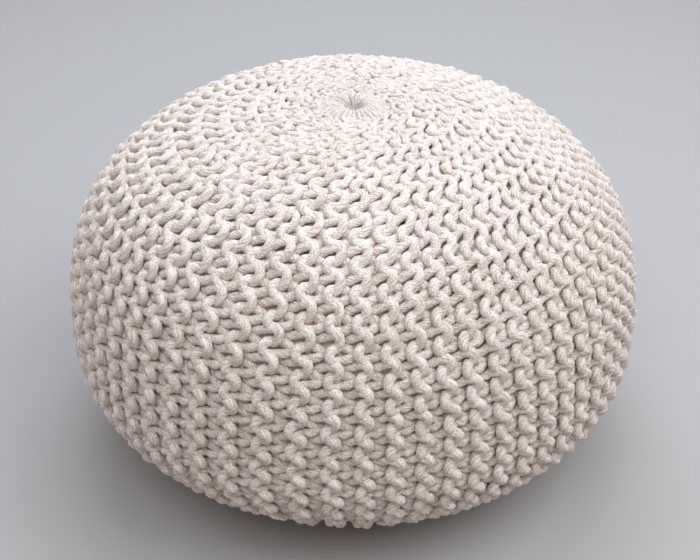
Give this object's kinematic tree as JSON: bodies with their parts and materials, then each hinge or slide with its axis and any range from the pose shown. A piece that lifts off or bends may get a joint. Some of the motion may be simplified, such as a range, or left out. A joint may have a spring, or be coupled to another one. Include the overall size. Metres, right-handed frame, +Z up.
{
  "type": "knitted pouf",
  "caption": "Round stuffed floor pouf in thick undyed cotton cord, garter-knitted in ridges that run from a drawn eye on top to a flat foot; a low seat or footstool.",
  "frame": {"origin": "middle of the flat foot, on the floor", "axes": "+Z up through the drawn eye, -Y towards the front view"},
  "size_m": [0.55, 0.5494, 0.3501],
  "materials": {
    "cotton_cord": "matte undyed cotton cord, knitted"
  },
  "bodies": {
    "root": {"knitted_cover": "cotton_cord"}
  },
  "joints": []
}
